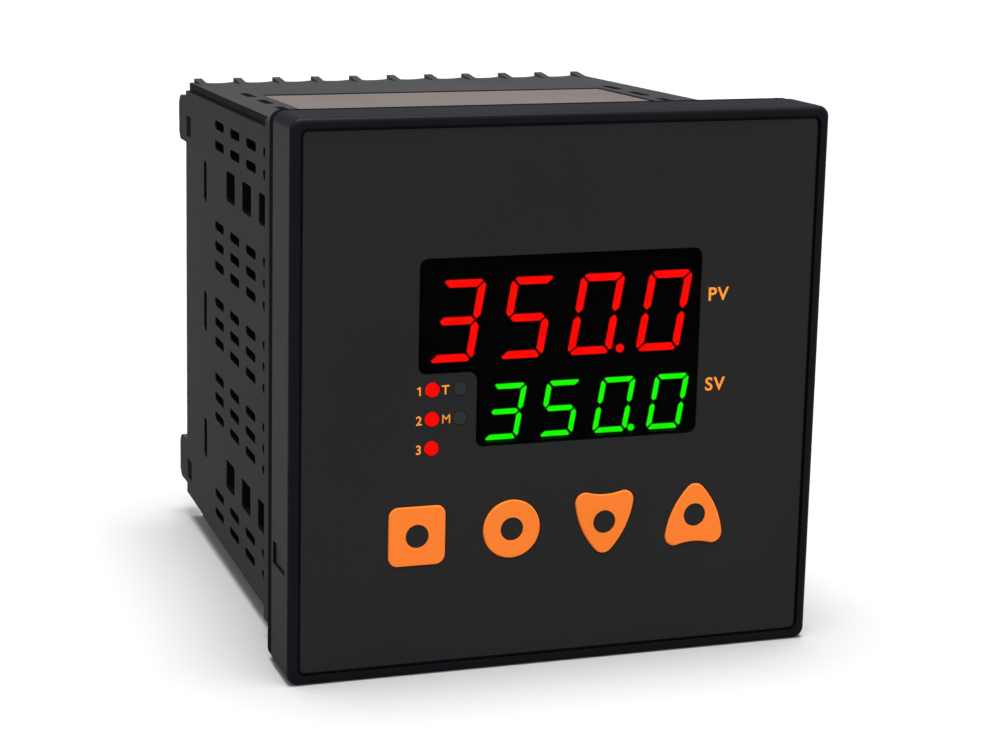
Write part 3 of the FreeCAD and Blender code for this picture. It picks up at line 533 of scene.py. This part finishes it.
# %% [markdown]
# ## Lit bars and lamps
# A lit bar is a diffuser over a tiny chip, so it is brightest over the chip and a little
# deeper towards the ends. A lamp inside each bar would be slow and grainy, so the bars glow
# by themselves, and a wide noise between two close colours stands in for the chips. The
# strength sits on the shader itself. The round lamps lie open on the front, with no filter
# over them, so they mirror less, or the white around them would wash out their red.

# %% Digits, lamps and what surrounds them
unlit_share = 0.2


def glowing(name, bright, deep, strength, specular=0.1):
    # The plastic under the glow has the same two colours, only dimmer.
    material = moulded(name, [unlit_share * part for part in bright],
                       [unlit_share * part for part in deep],
                       grain=900.0, roughness=0.5, bump=0.000002, specular=specular)
    tree = material.node_tree
    glow = spread(tree, noise(tree, object_place(tree), 420.0, 1.0), 0.35, 0.65, 0.0, 1.0)
    colour = blend_colours(tree, glow, shade(deep), shade(bright))
    shader = tree.nodes["Principled BSDF"]
    feed(tree, colour, shader.inputs["Emission Color"])
    shader.inputs["Emission Strength"].default_value = strength
    return material


red_bars = glowing("red_bars", (1.0, 0.003, 0.001), (0.9, 0.001, 0.001), 6.3)
green_bars = glowing("green_bars", (0.01, 1.0, 0.001), (0.004, 0.9, 0.001), 6.3)
lamp_red = glowing("lamp_red", (1.0, 0.002, 0.0), (0.92, 0.001, 0.0), 1.0, specular=0.01)
lamp_dark = moulded("lamp_dark", 0.017, 0.021, grain=1200.0, roughness=0.5, specular=0.08)
module_black = moulded("module_black", 0.0010, 0.0015, roughness=0.8, specular=0.02)
dress(red_bars, "upper_digits")
dress(green_bars, "lower_digits")
dress(lamp_red, "output_lamp_1", "output_lamp_2", "output_lamp_3")
dress(lamp_dark, "tune_lamp", "manual_lamp")
dress(module_black, "upper_display_module", "lower_display_module")
print("lit:", red_bars.name, green_bars.name, lamp_red.name)

# %% [markdown]
# ## Keys
# The keys are orange silicone with a fine matt skin. Each has a dark dot in its middle, in
# the colour of the overlay. The dot could be a mask in the key's material, but the frame has
# it as a piece of its own, so it only needs its own finish.

# %% Keys and their dots
key_kinds = ("square", "round", "down", "up")
key_orange = moulded("key_orange", (0.750, 0.164, 0.019), (0.790, 0.177, 0.024), grain=3800.0,
                     roughness=0.7, bump=0.00001, specular=0.08)
dot_dark = moulded("dot_dark", 0.0128, 0.0142, grain=5200.0, roughness=0.7, bump=0.00001, specular=0.06)
dress(key_orange, *[kind + "_key" for kind in key_kinds])
dress(dot_dark, *[kind + "_key_dot" for kind in key_kinds])
print("keys:", key_orange.name, dot_dark.name)

# %% [markdown]
# ## Orange legends
# The legends are screen printed on the film. Shapes drawn point by point would look unsteady
# at this size, so each one starts as a text object, which gives clean outlines from the
# built-in letter shapes. It becomes a mesh with a little thickness, like a layer of ink, and
# lies on the film.

# %% Print the legends
ink_orange = moulded("ink_orange", (0.810, 0.250, 0.023), (0.850, 0.268, 0.028), grain=5200.0,
                     roughness=0.6, bump=0.000005, specular=0.08)
film_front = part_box("front_overlay")[0].y
ink_thickness = 0.03 * mm
ink_middle = film_front - ink_thickness / 2
letter_spacing = 1.14
# Each row: name, letters, size in mm, weight, and the place of its middle in mm, x and z.
legends = [("legend_2", "2", 2.2, 0.02, -25.5, -3.3), ("legend_3", "3", 2.2, 0.02, -25.5, -8.35),
           ("legend_t", "T", 2.2, 0.02, -20.9, 1.8), ("legend_m", "M", 2.2, 0.0, -20.7, -3.25),
           ("legend_pv", "PV", 3.25, 0.02, 28.45, 15.9), ("legend_sv", "SV", 3.25, 0.02, 28.45, 0.0)]


def print_legend(name, words, size, weight, x, z):
    start_clean()
    bpy.ops.object.text_add()
    piece = bpy.context.object
    piece.data.body = words
    piece.data.size = size * mm
    piece.data.offset = weight * size * mm
    piece.data.space_character = letter_spacing
    piece.data.extrude = ink_thickness / 2
    piece.data.resolution_u = 6
    bpy.ops.object.convert(target="MESH")
    low = [min(vertex.co[axis] for vertex in piece.data.vertices) for axis in (0, 1)]
    high = [max(vertex.co[axis] for vertex in piece.data.vertices) for axis in (0, 1)]
    middle = Vector(((low[0] + high[0]) / 2, (low[1] + high[1]) / 2, 0))
    upright = Matrix.Rotation(math.radians(90), 4, "X")
    move = Matrix.Translation((x * mm, ink_middle, z * mm))
    piece.data.transform(move @ upright @ Matrix.Translation(-middle))
    return settle(piece, name, "controller", ink_orange)


for legend in legends:
    print_legend(*legend)
print("legends from letters:", len(legends))

# %% [markdown]
# ## The figure 1
# The built-in figure 1 is a bare stroke, and the printed one has a flag. So the 1 is
# modelled: a thin upright block is cut across near its top, the small face that this makes
# on the left is extruded, and its end is lowered and made narrower.

# %% Model the figure 1


def select_faces(piece, wanted):
    # Selects the faces whose centre and normal pass the test, in edit mode.
    bpy.ops.object.mode_set(mode="EDIT")
    bpy.ops.mesh.select_mode(type="FACE")
    bpy.ops.mesh.select_all(action="DESELECT")
    bpy.ops.object.mode_set(mode="OBJECT")
    for face in piece.data.polygons:
        face.select = bool(wanted(face.center, face.normal))
    bpy.ops.object.mode_set(mode="EDIT")


def extrude_by(x, y, z):
    bpy.ops.mesh.extrude_region_move(TRANSFORM_OT_translate={"value": (x, y, z)})


figure_height = 1.5 * mm
stem_width = 0.28 * mm
flag_height = 0.38 * mm
flag_reach = 0.34 * mm
flag_drop = 0.15 * mm
figure_x = -25.4 * mm
figure_z = 1.75 * mm
start_clean()
bpy.ops.mesh.primitive_cube_add(size=1.0, location=(0, 0, 0))
figure = bpy.context.object
figure.scale = (stem_width, ink_thickness, figure_height)
bpy.ops.object.transform_apply(location=True, rotation=True, scale=True)
bpy.ops.object.mode_set(mode="EDIT")
bpy.ops.mesh.select_all(action="SELECT")
bpy.ops.mesh.bisect(plane_co=(0, 0, figure_height / 2 - flag_height), plane_no=(0, 0, 1))
select_faces(figure, lambda centre, normal: normal.x < -0.9 and centre.z > figure_height / 4)
extrude_by(-flag_reach, 0, -flag_drop)
bpy.ops.transform.resize(value=(1, 1, 0.6))
bpy.ops.object.mode_set(mode="OBJECT")
figure.data.transform(Matrix.Translation((figure_x, ink_middle, figure_z)))
settle(figure, "legend_1", "controller", ink_orange)
print("figure 1 faces:", len(figure.data.polygons))

# %% [markdown]
# ## The bare label on top
# A grey polyester label lies in a shallow seat of the case. It could share the plastic of the
# case, but it is warmer, paler and smoother, so it has a finish of its own: plain label
# stock, with the fine grain of the laminate.

# %% Label stock
label_stock = moulded("label_stock", (0.065, 0.054, 0.051), (0.073, 0.061, 0.058), grain=1800.0,
                      roughness=0.5, bump=0.00001, specular=0.09)
dress(label_stock, "top_label")
print("label:", label_stock.name)

# %% [markdown]
# ## Metal of the terminals
# Lugs are tinned brass, and the clamp plates and screws are plated steel. Both were drawn and
# punched, so both come from the drawn metal group, each with its own colour and stain.

# %% Lugs, clamp plates, small screws
tinned_brass = drawn("tinned_brass", (0.62, 0.59, 0.52), (0.50, 0.45, 0.36), roughness=0.34)
plated_steel = drawn("plated_steel", (0.62, 0.63, 0.64), (0.48, 0.48, 0.47), roughness=0.28)
dress(tinned_brass, "upper_terminal_lugs", "lower_terminal_lugs")
dress(plated_steel, "upper_clamp_plates", "lower_clamp_plates", "display_board_screws")
print("metals:", tinned_brass.name, plated_steel.name)

# %% [markdown]
# ## Terminal screws
# A terminal screw takes a cross-point or a flat blade, so its head has one long slot and a
# short one across it, and its rim is rounded for the finger. The frame has plain heads.
# Slots could be painted on them, but from behind they catch the light, so a whole screw is
# modelled and stands for them. It starts as a cylinder along the length of the case. The
# outer face is inset and pushed out, which makes the dome, and the inner face is inset down
# to the shank and extruded.

# %% Model the head and the shank
row_low, row_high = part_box("upper_terminal_screws")
row_length = 10
head_radius = (row_high.z - row_low.z) / 2
head_height = 2.2 * mm
shank_radius = 1.45 * mm
shank_length = row_high.y - row_low.y - head_height
shank_tip = 0.2 * mm
dome_rise = 0.35 * mm
dome_rim = 0.35 * mm
dome_ring = 0.7 * mm
first_x = row_low.x + head_radius
screw_pitch = (row_high.x - row_low.x - 2 * head_radius) / (row_length - 1)

start_clean()
bpy.ops.mesh.primitive_cylinder_add(vertices=32, radius=head_radius, depth=head_height - dome_rise,
                                    location=(0, -(head_height + dome_rise) / 2, 0),
                                    rotation=(math.radians(90), 0, 0))
screw = bpy.context.object
bpy.ops.object.transform_apply(location=True, rotation=True, scale=True)
select_faces(screw, lambda centre, normal: normal.y > 0.9)
bpy.ops.mesh.inset(thickness=dome_rim)
bpy.ops.transform.translate(value=(0, 0.6 * dome_rise, 0))
bpy.ops.mesh.inset(thickness=dome_ring)
bpy.ops.transform.translate(value=(0, 0.4 * dome_rise, 0))
select_faces(screw, lambda centre, normal: normal.y < -0.9)
bpy.ops.mesh.inset(thickness=head_radius - shank_radius)
extrude_by(0, -(shank_length - shank_tip), 0)
extrude_by(0, -shank_tip, 0)
bpy.ops.transform.resize(value=(0.8, 1, 0.8))
bpy.ops.object.mode_set(mode="OBJECT")
print("screw faces before the slots:", len(screw.data.polygons))

# %% [markdown]
# The slots could be inset and pushed down face by face, but they cross each other and the
# rings of the dome, so a Boolean modifier cuts them. Its cutter is a box whose end face is
# scaled down in edit mode, so that the slot tapers like the tip of a screwdriver. The long
# and the short slot use the same box, turned a quarter and shortened. A narrow bevel then
# breaks the sharp edges, as the plating does.

# %% Cut the slots
slot_depth = 1.0 * mm
slot_width = 0.75 * mm
long_slot = 4.3 * mm
short_slot = 2.9 * mm


def cut_slot(length, turn):
    start_clean()
    bpy.ops.mesh.primitive_cube_add(size=1.0, location=(0, 0, 0))
    cutter = bpy.context.object
    cutter.scale = (length, 2 * slot_depth, slot_width)
    bpy.ops.object.transform_apply(location=True, rotation=True, scale=True)
    select_faces(cutter, lambda centre, normal: normal.y < -0.9)
    bpy.ops.transform.resize(value=(0.8, 1, 0.7))
    bpy.ops.object.mode_set(mode="OBJECT")
    cutter.rotation_euler = (0, turn, 0)
    bpy.ops.object.transform_apply(location=True, rotation=True, scale=True)
    activate(screw)
    tool = screw.modifiers.new("slot", "BOOLEAN")
    tool.operation = "DIFFERENCE"
    tool.object = cutter
    bpy.ops.object.modifier_apply(modifier=tool.name)
    activate(cutter)
    bpy.ops.object.delete()


cut_slot(long_slot, math.radians(0))
cut_slot(short_slot, math.radians(90))
soften = screw.modifiers.new("soften", "BEVEL")
soften.width = 0.08 * mm
soften.segments = 2
soften.limit_method = "ANGLE"
soften.angle_limit = math.radians(35)
activate(screw)
bpy.ops.object.modifier_apply(modifier=soften.name)
bpy.ops.object.shade_smooth_by_angle(angle=math.radians(30))
screw_mesh = screw.data.copy()
activate(screw)
bpy.ops.object.delete()
print("faces of one screw:", len(screw_mesh.polygons))

# %% [markdown]
# An array modifier could repeat the screw, but nobody leaves all screws at the same turn. So
# each is a copy that is turned by its own angle, taken from its number. The lower row is the
# upper one in the mirror of the middle plane, but a screw is round, so only its place
# changes.

# %% Place the two rows
turn_step = 37
row_turn = 11
row_height = row_low.z + head_radius
for row, side in (("upper", 1), ("lower", -1)):
    for number in range(row_length):
        copy = bpy.data.objects.new("loose_screw", screw_mesh.copy())
        bpy.context.scene.collection.objects.link(copy)
        angle = (turn_step * number + row_turn * side) % 180
        turn = Matrix.Rotation(math.radians(angle), 4, "Y")
        move = Matrix.Translation((first_x + number * screw_pitch, row_high.y, side * row_height))
        copy.data.transform(move @ turn)
        settle(copy, row + "_terminal_screw_" + str(number + 1), "controller", plated_steel)
        if number == 0:
            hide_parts(row + "_terminal_screws")
print("terminal screws:", 2 * row_length)

# %% [markdown]
# ## Boards
# All of the inside shows only through the vents. It still gets true colours, since a vent
# lets in enough light to tell a green board from a grey one. Copper tracks lie under the
# green lacquer, a shade lighter. They could be cut into the board, but they are thinner than
# paper, so a brick texture draws them: its joints are straight and meet at right angles.

# %% Green boards with tracks
board_green = moulded("board_green", (0.010, 0.060, 0.022), (0.016, 0.085, 0.030), grain=700.0,
                      roughness=0.35, specular=0.4)
board_tree = board_green.node_tree
tracks = add_node(board_tree, "ShaderNodeTexBrick", offset=0.5, squash=1.0)
tracks.inputs["Scale"].default_value = 160.0
tracks.inputs["Mortar Size"].default_value = 0.035
tracks.inputs["Mortar Smooth"].default_value = 0.2
feed(board_tree, object_place(board_tree), tracks.inputs["Vector"])
board_shader = board_tree.nodes["Principled BSDF"]
lacquer = board_shader.inputs["Base Color"].links[0].from_socket
copper_green = shade((0.030, 0.140, 0.050))
track_colour = blend_colours(board_tree, tracks.outputs["Fac"], lacquer, copper_green)
feed(board_tree, track_colour, board_shader.inputs["Base Color"])
dress(board_green, "display_board", "control_board", "power_board")
print("boards:", board_green.name)

# %% [markdown]
# ## What the boards carry
# Chip, headers, relays and switches are moulded in different blacks and greys, the winding is
# wrapped in yellow tape, and the capacitors wear a blue-black sleeve. Each could have lines of
# its own, but they differ only in numbers, so a table and one loop dress them all.

# %% Chip, headers, relays, transformer, capacitors, switches
switch_pieces = [kind + ending for ending in ("_switch", "_switch_plunger") for kind in key_kinds]
inner_finishes = [
    ("chip_black", 0.012, 0.016, {"roughness": 0.6}, ["controller_chip"]),
    ("header_black", 0.015, 0.020, {"roughness": 0.5}, ["control_header", "power_header"]),
    ("relay_case", (0.012, 0.014, 0.018), (0.016, 0.018, 0.024), {"roughness": 0.35},
     ["relay_1", "relay_2", "relay_3"]),
    ("ferrite", 0.018, 0.030, {"grain": 1400.0, "roughness": 0.75}, ["transformer_core"]),
    ("winding_tape", (0.70, 0.46, 0.05), (0.62, 0.38, 0.04), {"roughness": 0.4},
     ["transformer_winding"]),
    ("capacitor_sleeve", (0.010, 0.012, 0.020), (0.016, 0.018, 0.030), {"roughness": 0.3},
     ["bulk_capacitor", "output_capacitor"]),
    ("switch_grey", 0.030, 0.040, {"roughness": 0.45}, switch_pieces),
]
for name, first_tone, second_tone, finish, pieces in inner_finishes:
    dress(moulded(name, first_tone, second_tone, **finish), *pieces)
print("finishes inside:", len(inner_finishes))

# %% [markdown]
# ## The end

# %% Finish
print("dressing finished")
